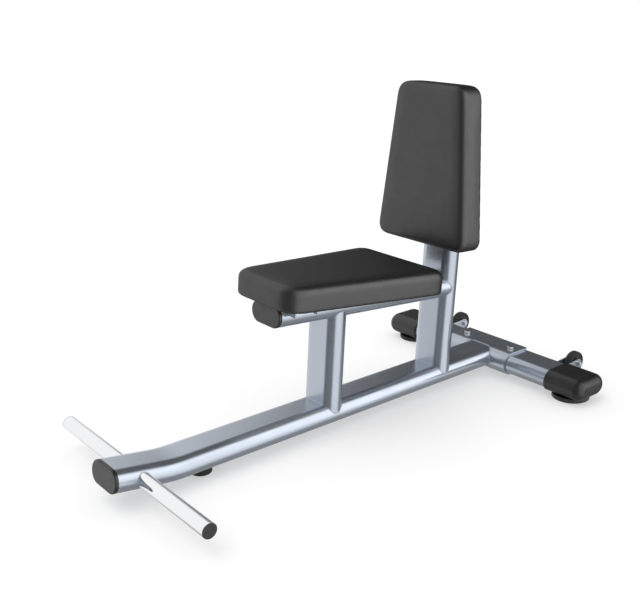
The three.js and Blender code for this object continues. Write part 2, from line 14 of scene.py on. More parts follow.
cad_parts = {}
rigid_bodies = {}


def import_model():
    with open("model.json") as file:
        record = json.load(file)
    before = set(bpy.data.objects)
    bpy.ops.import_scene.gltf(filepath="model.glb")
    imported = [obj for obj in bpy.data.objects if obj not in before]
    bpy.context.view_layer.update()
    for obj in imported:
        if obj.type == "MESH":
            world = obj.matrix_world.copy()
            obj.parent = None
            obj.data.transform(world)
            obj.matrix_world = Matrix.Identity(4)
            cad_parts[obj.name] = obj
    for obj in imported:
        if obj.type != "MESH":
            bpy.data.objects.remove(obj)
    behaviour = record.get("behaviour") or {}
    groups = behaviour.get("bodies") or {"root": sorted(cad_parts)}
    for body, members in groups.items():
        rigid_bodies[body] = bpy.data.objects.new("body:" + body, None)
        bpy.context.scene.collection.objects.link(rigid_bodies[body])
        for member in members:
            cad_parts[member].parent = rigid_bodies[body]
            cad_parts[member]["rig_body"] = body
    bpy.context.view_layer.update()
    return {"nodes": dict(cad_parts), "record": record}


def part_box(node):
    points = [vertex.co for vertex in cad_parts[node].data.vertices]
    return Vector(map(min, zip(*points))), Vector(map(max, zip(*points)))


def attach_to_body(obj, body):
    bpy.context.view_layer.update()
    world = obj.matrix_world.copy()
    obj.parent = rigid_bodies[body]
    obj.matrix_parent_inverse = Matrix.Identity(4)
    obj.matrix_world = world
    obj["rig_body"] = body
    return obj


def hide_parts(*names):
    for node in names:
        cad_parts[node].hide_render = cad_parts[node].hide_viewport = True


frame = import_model()

# ---------- the frame's driving dimensions ----------

TUBE_WIDTH = 0.120
TUBE_HEIGHT = 0.060
TUBE_WALL = 0.003
TUBE_FLAT = (TUBE_WIDTH - TUBE_HEIGHT) / 2  # from the tube's middle to where its round side starts
GAP = 0.0003

LEAN = math.radians(3.6)
RAIL_TILT = math.radians(4.5)
NOSE_ANGLE = math.radians(9)
NOSE_CORNER = -0.501
NOSE_LENGTH = 0.159
BEND_RADIUS = 0.400
BAR_FROM_CORNER = 0.092
FRONT_FOOT_Y = -0.401
FRONT_UPRIGHT_Y = 0.002
REAR_UPRIGHT_Y = 0.432
REAR_UPRIGHT_TOP = 0.790
RAIL_Z = 0.307
RAIL_NOSE = 0.180
STABILISER_Y = 0.694
SADDLE_RADIUS = 0.0356

SEAT_EARS = {"front": -0.121, "rear": 0.209}  # along the seat
BACK_EARS = {"lower": 0.490, "upper": 0.730}  # along the rear upright
EAR_BOLT_X = 0.070
EAR_THICKNESS = 0.004

# Each pad is a tapered board with a cushion round it, measured along the seat or along the rear upright.
PAD_NARROW = 0.255
PAD_WIDE = 0.350
SEAT_FRONT = -0.212
SEAT_REAR = 0.299
SEAT_THICKNESS = 0.068
BACK_BOTTOM = 0.406
BACK_TOP = 0.857
BACK_THICKNESS = 0.077
BOARD_INSET = 0.014
BOARD_THICKNESS = 0.015

SIDES = {"left": 1, "right": -1}


def middle(node):
    low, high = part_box(node)
    return (low + high) / 2


def half_size(node):
    low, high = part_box(node)
    return (high - low) / 2


def frame_at(x, y, z, tilt=0.0):
    """A frame whose Y and Z axes are turned back about X."""
    return Matrix.Translation((x, y, z)) @ Matrix.Rotation(-tilt, 4, "X")


def shift(x, y, z):
    return Matrix.Translation((x, y, z))


BASE_Y = middle("front_foot").y - FRONT_FOOT_Y
BEAM_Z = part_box("main_beam")[0].z + TUBE_HEIGHT / 2

# A tube's own frame has x along its width, y along its height and z along its length.
FORWARD = Matrix.Rotation(math.pi / 2, 4, "X")
ACROSS = Matrix(((0, 0, 1, 0), (1, 0, 0, 0), (0, 1, 0, 0), (0, 0, 0, 1)))
DOWN = Matrix.Rotation(math.pi, 4, "X")

seat = frame_at(0, BASE_Y, BEAM_Z + RAIL_Z, RAIL_TILT)
beam_tube = frame_at(0, BASE_Y, BEAM_Z) @ FORWARD
nose_tube = frame_at(0, BASE_Y + NOSE_CORNER, BEAM_Z, NOSE_ANGLE) @ FORWARD
rail_tube = seat @ FORWARD
front_post = frame_at(0, BASE_Y + FRONT_UPRIGHT_Y, BEAM_Z, LEAN)
rear_post = frame_at(0, BASE_Y + REAR_UPRIGHT_Y, BEAM_Z, LEAN)
stabiliser_z = middle("stabiliser_tube").z
stabiliser_tube = shift(0, BASE_Y + STABILISER_Y, stabiliser_z) @ ACROSS


# ---------- materials ----------


class Look:
    """A procedural material: a Principled shader, with helpers that add the nodes feeding it."""

    def __init__(self, name, **inputs):
        self.material = bpy.data.materials.new(name)
        self.material.use_nodes = True
        self.tree = self.material.node_tree
        self.shader = self.tree.nodes["Principled BSDF"]
        self.place = self.node("ShaderNodeTexCoord").outputs["Object"]
        for key, value in inputs.items():
            self.set(key.replace("_", " ").title(), value)

    def node(self, kind, **settings):
        made = self.tree.nodes.new(kind)
        for key, value in settings.items():
            setattr(made, key, value)
        return made

    def set(self, key, value):
        key = key.replace("Ior", "IOR")
        if isinstance(value, tuple):
            value = (*value, 1.0)
        self.shader.inputs[key].default_value = value

    def feed(self, node, key, source):
        if isinstance(source, bpy.types.NodeSocket):
            self.tree.links.new(source, node.inputs[key])
        else:
            node.inputs[key].default_value = source

    def noise(self, scale, detail=2.0, stretch=None):
        place = self.place
        if stretch:
            mapping = self.node("ShaderNodeMapping")
            mapping.inputs["Scale"].default_value = stretch
            self.feed(mapping, "Vector", place)
            place = mapping.outputs["Vector"]
        made = self.node("ShaderNodeTexNoise")
        self.feed(made, "Vector", place)
        self.feed(made, "Scale", scale)
        self.feed(made, "Detail", detail)
        return made.outputs["Fac"]

    def cells(self, scale):
        made = self.node("ShaderNodeTexVoronoi", feature="SMOOTH_F1")
        self.feed(made, "Vector", self.place)
        self.feed(made, "Scale", scale)
        return made.outputs["Distance"]

    def remap(self, source, low, high, start=0.3, end=0.7):
        made = self.node("ShaderNodeMapRange")
        self.feed(made, "Value", source)
        for key, value in (("From Min", start), ("From Max", end), ("To Min", low), ("To Max", high)):
            self.feed(made, key, value)
        return made.outputs["Result"]

    def blend(self, share, first, second):
        made = self.node("ShaderNodeMix", data_type="RGBA")
        self.feed(made, "Factor", share)
        for key, value in (("A", first), ("B", second)):
            socket = [s for s in made.inputs if s.name == key and s.type == "RGBA"][0]
            if isinstance(value, bpy.types.NodeSocket):
                self.tree.links.new(value, socket)
            else:
                socket.default_value = (*value, 1.0)
        return [s for s in made.outputs if s.type == "RGBA"][0]

    def multiply(self, first, second):
        made = self.node("ShaderNodeMath", operation="MULTIPLY")
        self.feed(made, 0, first)
        self.feed(made, 1, second)
        return made.outputs[0]

    def edges(self, radius):
        """1 on flat faces, falling towards 0 within radius of an edge."""
        bevel = self.node("ShaderNodeBevel", samples=4)
        bevel.inputs["Radius"].default_value = radius
        dot = self.node("ShaderNodeVectorMath", operation="DOT_PRODUCT")
        self.tree.links.new(bevel.outputs["Normal"], dot.inputs[0])
        self.tree.links.new(self.node("ShaderNodeNewGeometry").outputs["Normal"], dot.inputs[1])
        return dot.outputs["Value"]

    def bumps(self, *layers):
        """Surface relief from (height, depth) pairs, depth in metres."""
        normal = None
        for height, depth in layers:
            made = self.node("ShaderNodeBump")
            made.inputs["Distance"].default_value = depth
            self.tree.links.new(height, made.inputs["Height"])
            if normal:
                self.tree.links.new(normal, made.inputs["Normal"])
            normal = made.outputs["Normal"]
        self.tree.links.new(normal, self.shader.inputs["Normal"])

    def drive(self, key, source):
        self.tree.links.new(source, self.shader.inputs[key])


def paint_look():
    """Glossy metallic silver powder coat: fine flake, orange peel, edges rubbed a little brighter."""
    look = Look("frame_paint", metallic=0.88, coat_weight=0.2, coat_roughness=0.1)
    flake = look.remap(look.noise(2600, 1.0), 0.0, 1.0)
    base = look.blend(flake, (0.47, 0.52, 0.59), (0.54, 0.59, 0.67))
    cloud = look.remap(look.noise(6, 3.0), 0.0, 1.0)
    base = look.blend(look.multiply(cloud, 0.12), base, (0.45, 0.49, 0.55))
    lighter_edges = look.remap(look.edges(0.0016), 0.45, 0.0, 0.80, 0.985)
    lighter_edges = look.multiply(lighter_edges, look.remap(look.noise(90, 3.0), 0.1, 1.0))
    base = look.blend(lighter_edges, base, (0.60, 0.63, 0.68))
    look.drive("Base Color", base)
    look.drive("Roughness", look.remap(look.noise(14, 4.0), 0.20, 0.27))
    look.bumps((look.noise(260, 2.0), 0.00005), (look.noise(2600, 1.0), 0.00001))
    return look.material


def chrome_look():
    """Polished chrome with a faint haze of fine rubbing along the bar."""
    look = Look("chrome_bar", metallic=1.0)
    haze = look.remap(look.noise(9, 4.0), 0.0, 1.0)
    look.drive("Base Color", look.blend(haze, (0.97, 0.975, 0.985), (0.93, 0.94, 0.96)))
    look.drive("Roughness", look.remap(look.noise(60, 4.0, (0.2, 1, 1)), 0.05, 0.11))
    look.bumps((look.noise(700, 2.0, (0.05, 1, 1)), 0.000004))
    return look.material


def zinc_look():
    """Bright zinc plate, slightly grainy and mottled."""
    look = Look("zinc_hardware", metallic=1.0)
    mottle = look.remap(look.noise(180, 4.0), 0.0, 1.0)
    look.drive("Base Color", look.blend(mottle, (0.78, 0.79, 0.80), (0.64, 0.645, 0.64)))
    look.drive("Roughness", look.remap(look.noise(400, 3.0), 0.20, 0.38))
    look.bumps((look.noise(1500, 2.0), 0.00002))
    return look.material


def vinyl_look():
    """Satin black upholstery vinyl with a fine pebbled grain.

    Its sheen is nearly the same at every angle, which a dark tinted reflection gives.
    """
    look = Look("upholstery", metallic=0.94, specular_tint=(0.6, 0.6, 0.6))
    tone = look.remap(look.noise(7, 3.0), 0.0, 1.0)
    grain = look.cells(950)
    base = look.blend(tone, (0.110, 0.110, 0.110), (0.120, 0.120, 0.120))
    base = look.blend(look.remap(grain, 0.0, 0.5, 0.2, 0.7), base, (0.100, 0.100, 0.100))
    look.drive("Base Color", base)
    look.drive("Roughness", look.remap(look.noise(35, 3.0), 0.38, 0.44))
    look.bumps((look.noise(45, 2.0), 0.00012), (grain, -0.00006), (look.noise(2600, 2.0), 0.00002))
    return look.material


def plastic_look():
    """Moulded black plastic with a fine spark-eroded texture, and a painted highlight along its edges."""
    look = Look("black_plastic", specular_ior_level=0.8)
    tone = look.remap(look.noise(25, 3.0), 0.0, 1.0)
    base = look.blend(tone, (0.008, 0.008, 0.008), (0.012, 0.012, 0.012))
    # Every edge within a millimetre is painted lighter: a painted highlight where the edges catch the
    # light.
    lighter_edges = look.remap(look.edges(0.001), 0.35, 0.0, 0.8, 0.98)
    look.drive("Base Color", look.blend(lighter_edges, base, (0.030, 0.030, 0.030)))
    look.drive("Roughness", look.remap(look.noise(80, 3.0), 0.34, 0.42))
    look.bumps((look.noise(1700, 2.0), 0.00002))
    return look.material


def rubber_look(name, base, dust):
    """Matt black rubber with a little dust in its pores."""
    look = Look(name, specular_ior_level=0.35)
    pores = look.remap(look.noise(300, 5.0), 0.0, 1.0, 0.45, 0.8)
    look.drive("Base Color", look.blend(pores, base, dust))
    look.drive("Roughness", look.remap(look.noise(120, 3.0), 0.62, 0.82))
    look.bumps((look.noise(900, 3.0), 0.00008))
    return look.material


def plywood_look():
    """Birch plywood with long grain on its faces."""
    look = Look("plywood", roughness=0.62, specular_ior_level=0.3)
    grain = look.remap(look.noise(60, 5.0, (1, 0.06, 1)), 0.0, 1.0)
    base = look.blend(grain, (0.60, 0.43, 0.26), (0.42, 0.28, 0.15))
    look.drive("Base Color", base)
    look.bumps((look.noise(90, 4.0, (1, 0.08, 1)), 0.0002))
    return look.material


LOOKS = {
    "frame_paint": paint_look(),
    "chrome_bar": chrome_look(),
    "zinc_hardware": zinc_look(),
    "upholstery": vinyl_look(),
    "black_plastic": plastic_look(),
    "foot_rubber": rubber_look("foot_rubber", (0.020, 0.020, 0.020), (0.038, 0.038, 0.037)),
    "wheel_tread": rubber_look("wheel_tread", (0.026, 0.026, 0.027), (0.042, 0.042, 0.042)),
    "plywood": plywood_look(),
}
SLOT_OF = {part["node"]: part["material_slot"] for part in frame["record"]["subparts"]}

# ---------- meshes ----------


def new_piece(name, vertices, faces):
    """An object from plain vertices and faces, its faces turned outward."""
    mesh = bpy.data.meshes.new(name)
    mesh.from_pydata([tuple(v) for v in vertices], [], faces)
    work = bmesh.new()
    work.from_mesh(mesh)
    bmesh.ops.recalc_face_normals(work, faces=work.faces)
    work.to_mesh(mesh)
    work.free()
    piece = bpy.data.objects.new(name, mesh)
    bpy.context.scene.collection.objects.link(piece)
    return piece


def loft(name, rings, closed=False):
    """Skins rings of points in order. The end rings are filled, or joined to each other if closed."""
    count = len(rings[0])
    faces = []
    for i in range(len(rings) if closed else len(rings) - 1):
        here = i * count
        there = (i + 1) % len(rings) * count
        for j in range(count):
            k = (j + 1) % count
            faces.append((here + j, here + k, there + k, there + j))
    if not closed:
        faces.append(tuple(range(count))[::-1])
        faces.append(tuple(range((len(rings) - 1) * count, len(rings) * count)))
    return new_piece(name, [point for ring in rings for point in ring], faces)


def join(name, pieces):
    """One object that holds the meshes of several."""
    work = bmesh.new()
    for piece in pieces:
        work.from_mesh(piece.data)
        bpy.data.objects.remove(piece)
    mesh = bpy.data.meshes.new(name)
    work.to_mesh(mesh)
    work.free()
    joined = bpy.data.objects.new(name, mesh)
    bpy.context.scene.collection.objects.link(joined)
    return joined


def bake(piece):
    """Applies the piece's modifiers to its mesh."""
    bpy.context.view_layer.update()
    graph = bpy.context.evaluated_depsgraph_get()
    mesh = bpy.data.meshes.new_from_object(piece.evaluated_get(graph))
    piece.modifiers.clear()
    piece.data = mesh
    return piece


def cut(piece, *cutters):
    """Takes the cutters out of the piece."""
    for cutter in cutters:
        modifier = piece.modifiers.new("cut", "BOOLEAN")
        modifier.object = cutter
        modifier.solver = "EXACT"
    bake(piece)
    for cutter in cutters:
        bpy.data.objects.remove(cutter)
    return piece


def attach(piece, node, slot, smooth=True):
    """Gives a piece its material, and lets it ride on the body of a CAD node."""
    piece.data.materials.clear()
    piece.data.materials.append(LOOKS[slot])
    piece.data.polygons.foreach_set("use_smooth", [smooth] * len(piece.data.polygons))
    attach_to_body(piece, frame["nodes"][node]["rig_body"])


def dress(piece, node, edge=0.0004, segments=2):
    """Softens a piece's edges, and lets it stand for a CAD node."""
    attach(piece, node, SLOT_OF[node])
    if edge:
        bevel = piece.modifiers.new("soft edges", "BEVEL")
        bevel.width = edge
        bevel.segments = segments
        bevel.limit_method = "ANGLE"
        bevel.angle_limit = math.radians(32)
        piece.modifiers.new("even shading", "WEIGHTED_NORMAL")
    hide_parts(node)


def refined(node, edge):
    """A copy of a CAD node with its flat faces whole and its edges rounded."""
    work = bmesh.new()
    work.from_mesh(frame["nodes"][node].data)
    bmesh.ops.remove_doubles(work, verts=work.verts, dist=0.00001)
    bmesh.ops.dissolve_limit(
        work,
        angle_limit=math.radians(0.5),
        verts=work.verts,
        edges=work.edges,
    )
    mesh = bpy.data.meshes.new(node + "_fine")
    work.to_mesh(mesh)
    work.free()
    piece = bpy.data.objects.new(node + "_fine", mesh)
    bpy.context.scene.collection.objects.link(piece)
    dress(piece, node, edge, segments=3)


# ---------- outlines ----------

OVAL_STEPS = 24
CORNER_STEPS = 8


def oval(grow=0.0):
    """Points round the tube's flat-oval outline, made larger all round by grow."""
    radius = TUBE_HEIGHT / 2 + grow
    points = []
    for side in (1, -1):
        for i in range(OVAL_STEPS + 1):
            angle = math.pi * (i / OVAL_STEPS - 0.5)
            points.append((side * (TUBE_FLAT + radius * math.cos(angle)), side * radius * math.sin(angle)))
    return points


def circle(radius, steps):
    return [
        (radius * math.cos(2 * math.pi * i / steps), radius * math.sin(2 * math.pi * i / steps))
        for i in range(steps)
    ]


def rounded_polygon(corners):
    """A polygon whose corners (x, y, start) curve from start before the corner to start after it."""
    points = []
    for i, (x, y, start) in enumerate(corners):
        corner = Vector((x, y))
        before = Vector(corners[i - 1][:2]) - corner
        after = Vector(corners[(i + 1) % len(corners)][:2]) - corner
        before = corner + before.normalized() * start
        after = corner + after.normalized() * start
        for j in range(CORNER_STEPS + 1):
            t = j / CORNER_STEPS
            points.append(before * (1 - t) ** 2 + corner * 2 * t * (1 - t) + after * t**2)
    return [(p.x, p.y) for p in points]


def pad_outline(half0, half1, y0, y1, corner0, corner1, inset):
    """A pad's tapered outline: half0 wide and cornered by corner0 at y0, half1 and corner1 at y1."""
    return rounded_polygon([
        (inset - half0, y0 + inset, corner0 - inset),
        (half0 - inset, y0 + inset, corner0 - inset),
        (half1 - inset, y1 - inset, corner1 - inset),
        (inset - half1, y1 - inset, corner1 - inset),
    ])


def ring(at, outline, z):
    """An outline's points at the height z of a frame; z may be a function of the point."""
    if callable(z):
        return [at @ Vector((x, y, z(x, y))) for x, y in outline]
    return [at @ Vector((x, y, z)) for x, y in outline]


def lathe(name, at, profile, closed=False, steps=96):
    """Turns (radius, height) points about the frame's z."""
    return loft(name, [ring(at, circle(radius, steps), z) for radius, z in profile], closed)


def quarter(radius, steps=6):
    """(inset, rise) pairs round a quarter circle, from the side of a body to its end."""
    turns = [math.pi / 2 * i / steps for i in range(steps + 1)]
    return [(radius * (1 - math.cos(t)), radius * math.sin(t)) for t in turns]


# ---------- frame tubes ----------


def meets(along, onto, side):
    """Where the outside of the tube onto, on one side of its height, cuts lines along another tube."""
    change = onto.inverted() @ along
    slope = (change.to_3x3() @ Vector((0, 0, 1))).y
    radius = TUBE_HEIGHT / 2

    def place(x, y):
        aside = min(max(0.0, abs(x) - TUBE_FLAT), 0.96 * radius)
        height = side * math.sqrt(radius**2 - aside**2)
        return (height - (change @ Vector((x, y, 0))).y) / slope

    return place


def always(z):
    return lambda x, y: z


def tube_rings(at, grow, *places):
    return [ring(at, oval(grow), place) for place in places]


def frame_tube(name, at, start, end):
    outside = tube_rings(at, 0, start, end)
    inside = tube_rings(at, -TUBE_WALL, end, start)
    return loft(name, outside + inside, closed=True)


BEND_STEPS = 14
SCREW_HOLE = 0.0078


def on_saddle(x, y):
    """How far forward the saddle's round front is, at the height y of the beam's outline."""
    above = min(abs(BEAM_Z + y - stabiliser_z), 0.99 * SADDLE_RADIUS)
    reach = TUBE_FLAT + math.sqrt(SADDLE_RADIUS**2 - above**2)
    return reach - STABILISER_Y


def beam_rings(grow):
    """The beam's outline from the saddle, round its bend and up to its front end."""
    tangent = BEND_RADIUS * math.tan(NOSE_ANGLE / 2)
    rings = tube_rings(beam_tube, grow, on_saddle)
    for i in range(BEND_STEPS + 1):
        turn = frame_at(0, 0, 0, NOSE_ANGLE * i / BEND_STEPS)
        pivot = shift(0, BASE_Y + NOSE_CORNER + tangent, BEAM_Z + BEND_RADIUS)
        rings += tube_rings(pivot @ turn @ shift(0, 0, -BEND_RADIUS) @ FORWARD, grow, always(0))
    rings += tube_rings(nose_tube, grow, always(NOSE_LENGTH))
    return rings


def main_beam():
    beam = loft("main_beam_fine", beam_rings(0) + beam_rings(-TUBE_WALL)[::-1], closed=True)
    bar_at = shift(*(nose_tube @ Vector((0, 0, BAR_FROM_CORNER)))) @ ACROSS
    radius = half_size("foot_bar").z + GAP
    bar_hole = lathe("bar_hole", bar_at, [(radius, -TUBE_WIDTH), (radius, TUBE_WIDTH)])
    screw_at = shift(0, middle("front_foot").y, 0)
    screw_hole = lathe("screw_hole", screw_at, [(SCREW_HOLE, 0.0), (SCREW_HOLE, BEAM_Z)])
    dress(cut(beam, bar_hole, screw_hole), "main_beam")


def uprights_and_rail():
    front_ends = (meets(front_post, beam_tube, 1), meets(front_post, rail_tube, -1))
    dress(frame_tube("front_upright_fine", front_post, *front_ends), "front_upright")
    rear_ends = (meets(rear_post, beam_tube, 1), always(REAR_UPRIGHT_TOP))
    dress(frame_tube("rear_upright_fine", rear_post, *rear_ends), "rear_upright")
    rail_ends = (meets(rail_tube, rear_post, -1), always(RAIL_NOSE))
    dress(frame_tube("seat_rail_fine", rail_tube, *rail_ends), "seat_rail")


def cross_tube():
    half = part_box("stabiliser_tube")[1].x
    ends = (always(-half), always(half))
    dress(frame_tube("stabiliser_tube_fine", stabiliser_tube, *ends), "stabiliser_tube")


# ---------- welds ----------

BEAD = 0.0016
SMALL_BEAD = 0.0012
RIPPLE = 0.0032
RIPPLE_RINGS = 5
RIPPLE_SWELL = 0.07
BEAD_LIFT = 0.0002


def resampled(path, step):
    """Points spaced evenly round a closed path."""
    lengths = [0.0]
    for a, b in zip(path, path[1:] + path[:1]):
        lengths.append(lengths[-1] + (b - a).length)
    count = round(lengths[-1] / step)
    points = []
    i = 0
    for k in range(count):
        want = lengths[-1] * k / count
        while lengths[i + 1] < want:
            i += 1
        share = (want - lengths[i]) / (lengths[i + 1] - lengths[i])
        points.append(path[i].lerp(path[(i + 1) % len(path)], share))
    return points


def weld(name, path, axis, radius):
    """A bead along a closed path, with the ripples that the torch leaves."""
    points = resampled(path, RIPPLE / RIPPLE_RINGS)
    rings = []
    for i, point in enumerate(points):
        tangent = (points[(i + 1) % len(points)] - points[i - 1]).normalized()
        aside = tangent.cross(axis).normalized()
        up = aside.cross(tangent)
        swell = radius * (1 + RIPPLE_SWELL * math.sin(2 * math.pi * i / RIPPLE_RINGS))
        rings.append([point + (aside * x + up * y) * swell for x, y in circle(1, 10)])
    attach(loft(name, rings, closed=True), "main_beam", "frame_paint")


def welds():
    ends = {
        "front_upright_foot_weld": (front_post, meets(front_post, beam_tube, 1)),
        "front_upright_head_weld": (front_post, meets(front_post, rail_tube, -1)),
        "rear_upright_foot_weld": (rear_post, meets(rear_post, beam_tube, 1)),
        "seat_rail_weld": (rail_tube, meets(rail_tube, rear_post, -1)),
        "saddle_weld": (beam_tube, on_saddle),
    }
    for name, (at, place) in ends.items():
        axis = at.to_3x3() @ Vector((0, 0, 1))
        weld(name, ring(at, oval(BEAD_LIFT), place), axis, BEAD)
    radius = half_size("foot_bar").z
    for side_name, side in SIDES.items():
        path = []
        for y, z in circle(radius, 48):
            x = TUBE_FLAT + math.sqrt((TUBE_HEIGHT / 2) ** 2 - y**2)
            path.append(nose_tube @ Vector((side * x, y, BAR_FROM_CORNER + z)))
        weld("foot_bar_weld_" + side_name, path, Vector((1, 0, 0)), SMALL_BEAD)


# ---------- foot bar, plugs and front foot ----------


BAR_WALL = 0.0025
PLUG_DEPTH = 0.015
PLUG_RIM = 0.0004
PLUG_EDGE = 0.0012


def foot_bar():
    centre = middle("foot_bar")
    half = half_size("foot_bar")
    at = shift(0, centre.y, centre.z) @ ACROSS
    radius = half.z
    bore = radius - BAR_WALL
    profile = [(radius, -half.x), (radius, half.x), (bore, half.x), (bore, -half.x)]
    dress(lathe("foot_bar_fine", at, profile, closed=True), "foot_bar")
    for name, side in SIDES.items():
        node = "foot_bar_plug_" + name
        end = at @ Matrix.Scale(side, 4, (0, 0, 1))
        seat_z = half.x + GAP
        profile = [(bore - GAP, half.x - PLUG_DEPTH), (bore - GAP, seat_z), (radius, seat_z)]
        profile += [(radius - inset, seat_z + PLUG_RIM + rise) for inset, rise in quarter(PLUG_EDGE, 4)]
        dress(lathe(node + "_fine", end, profile), node, edge=0.0002)


FLANGE = 0.009
FLANGE_EDGE = 0.003
NECK_DEPTH = 0.024
NECK_CLEARANCE = 0.0004


def end_plug(node, at):
    """A push-in plug whose flange sits on the tube's end at z = 0 of the frame."""
    neck = -TUBE_WALL - NECK_CLEARANCE
    rings = [ring(at, oval(neck), -NECK_DEPTH), ring(at, oval(neck), GAP), ring(at, oval(), GAP)]
    for inset, rise in quarter(FLANGE_EDGE):
        rings.append(ring(at, oval(-inset), FLANGE - FLANGE_EDGE + rise))
    dress(loft(node + "_fine", rings), node, edge=0.0002)


def end_plugs():
    end_plug("beam_end_plug", nose_tube @ shift(0, 0, NOSE_LENGTH))
    end_plug("seat_rail_plug", rail_tube @ shift(0, 0, RAIL_NOSE))
    end_plug("rear_upright_plug", rear_post @ shift(0, 0, REAR_UPRIGHT_TOP))


FOOT_HEAD_WELL = 0.011  # both the radius and the depth of the well for the screw's head
FOOT_SCREW_HOLE = 0.0053
FOOT_EDGE = 0.004


def front_foot():
    at = shift(0, middle("front_foot").y, 0)
    radius = half_size("front_foot").x
    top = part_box("front_foot")[1].z
    profile = [(FOOT_HEAD_WELL, 0.0), (radius - FOOT_EDGE, 0.0)]
    profile += [(radius - inset, FOOT_EDGE - rise) for inset, rise in reversed(quarter(FOOT_EDGE))]
    profile += [(radius, top - 0.003), (radius - 0.0015, top)]
    profile += [(FOOT_SCREW_HOLE, top), (FOOT_SCREW_HOLE, FOOT_HEAD_WELL), (FOOT_HEAD_WELL, FOOT_HEAD_WELL)]
    dress(lathe("front_foot_fine", at, profile, closed=True), "front_foot", edge=0.0006)
    refined("front_foot_screw", 0.0004)
    refined("front_foot_insert", 0.0003)


# ---------- hex fasteners ----------

HEX_STEPS = 72
WASHER_FACE = 0.0004
TIP_CHAMFER = 0.0008
BORE_CHAMFER = 0.0006

# Radii of the hexagon's corners, the shank and a nut's bore, and the height of a bolt's head.
Hex = namedtuple("Hex", "corner shank bore head")
M12 = Hex(0.0109, 0.0060, 0.0062, 0.0075)
M8 = Hex(0.0075, 0.0040, 0.0042, 0.0053)
PAD_BOLT_LENGTH = 0.0165


def hex_ring(at, corner, z):
    """A hexagon's points, spaced by angle so that they pair with a circle's."""
    points = []
    for x, y in circle(1, HEX_STEPS):
        turn = math.atan2(y, x) % (math.pi / 3) - math.pi / 6
        reach = corner * math.cos(math.pi / 6) / math.cos(turn)
        points.append((x * reach, y * reach))
    return ring(at, points, z)


def chamfered(at, corner, height):
    """Rings from a hexagon's washer face at z = 0 to its chamfered top."""
    flat = corner * math.cos(math.pi / 6)
    crown = 0.95 * flat

    def shoulder(x, y):
        return height - (math.hypot(x, y) - crown) * math.tan(math.radians(30))

    sides = [(p.x, p.y) for p in hex_ring(Matrix(), corner, 0)]
    return [
        ring(at, circle(crown, HEX_STEPS), 0),
        ring(at, circle(crown, HEX_STEPS), WASHER_FACE),
        hex_ring(at, corner, WASHER_FACE),
        ring(at, sides, shoulder),
        ring(at, circle(crown, HEX_STEPS), height),
    ]


def hex_bolt(node, at, size, length):
    """A bolt whose head stands on z = 0 of the frame and whose shank runs down from it."""
    rings = [
        ring(at, circle(size.shank - TIP_CHAMFER, HEX_STEPS), -length),
        ring(at, circle(size.shank, HEX_STEPS), -length + TIP_CHAMFER),
        ring(at, circle(size.shank, HEX_STEPS), 0),
    ]
    rings += chamfered(at, size.corner, size.head)
    dress(loft(node + "_fine", rings), node, edge=0.0002)


def hex_nut(node, at, size, height):
    """A nut whose bearing face is at z = 0 of the frame."""
    rings = chamfered(at, size.corner, height)
    rings.append(ring(at, circle(size.bore + BORE_CHAMFER, HEX_STEPS), height))
    rings.append(ring(at, circle(size.bore, HEX_STEPS), height - BORE_CHAMFER))
    rings.append(ring(at, circle(size.bore, HEX_STEPS), 0))
    dress(loft(node + "_fine", rings, closed=True), node, edge=0.0002)


def sleeve_fasteners(name):
    """The upright bolt through the saddle and its nut below."""
    low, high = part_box("sleeve_bolt_" + name)
    centre = middle("sleeve_bolt_" + name)
    at = shift(centre.x, centre.y, high.z - M12.head)
    hex_bolt("sleeve_bolt_" + name, at, M12, high.z - M12.head - low.z)
    low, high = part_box("sleeve_nut_" + name)
    centre = middle("sleeve_nut_" + name)
    hex_nut("sleeve_nut_" + name, shift(centre.x, centre.y, high.z) @ DOWN, M12, high.z - low.z)


def axle_fasteners(name):
    """The wheel's axle bolt along X, and the nut at its +X end."""
    low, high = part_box("axle_bolt_" + name)
    centre = middle("axle_bolt_" + name)
    at = shift(low.x + M8.head, centre.y, centre.z) @ ACROSS @ DOWN
    hex_bolt("axle_bolt_" + name, at, M8, high.x - low.x - M8.head)
    low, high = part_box("axle_nut_" + name)
    centre = middle("axle_nut_" + name)
    hex_nut("axle_nut_" + name, shift(low.x, centre.y, centre.z) @ ACROSS, M8, high.x - low.x)


def pad_bolts(name, side):
    """The bolts up through the ears into the pads' boards."""
    bearing = TUBE_HEIGHT / 2 - EAR_THICKNESS - GAP
    for place, y in SEAT_EARS.items():
        at = seat @ shift(side * EAR_BOLT_X, y, bearing) @ DOWN
        hex_bolt(f"seat_bolt_{place}_{name}", at, M8, PAD_BOLT_LENGTH)
    for place, z in BACK_EARS.items():
        at = rear_post @ shift(side * EAR_BOLT_X, -bearing, z) @ FORWARD @ DOWN
        hex_bolt(f"back_bolt_{place}_{name}", at, M8, PAD_BOLT_LENGTH)


def plates(name):
    """One side's folded and cut steel plates, which keep their CAD shape."""
    for place in SEAT_EARS:
        refined(f"seat_bracket_{place}_{name}", 0.0008)
    for place in BACK_EARS:
        refined(f"back_bracket_{place}_{name}", 0.0008)
    refined("fork_plate_nut_side_" + name, 0.0008)
    refined("fork_plate_head_side_" + name, 0.0008)
    refined("foot_boss_" + name, 0.0004)


# ---------- stabiliser ends ----------

CAP_ROUND = 0.026
CAP_LIP = 0.0015
STUD_HOLE = 0.015


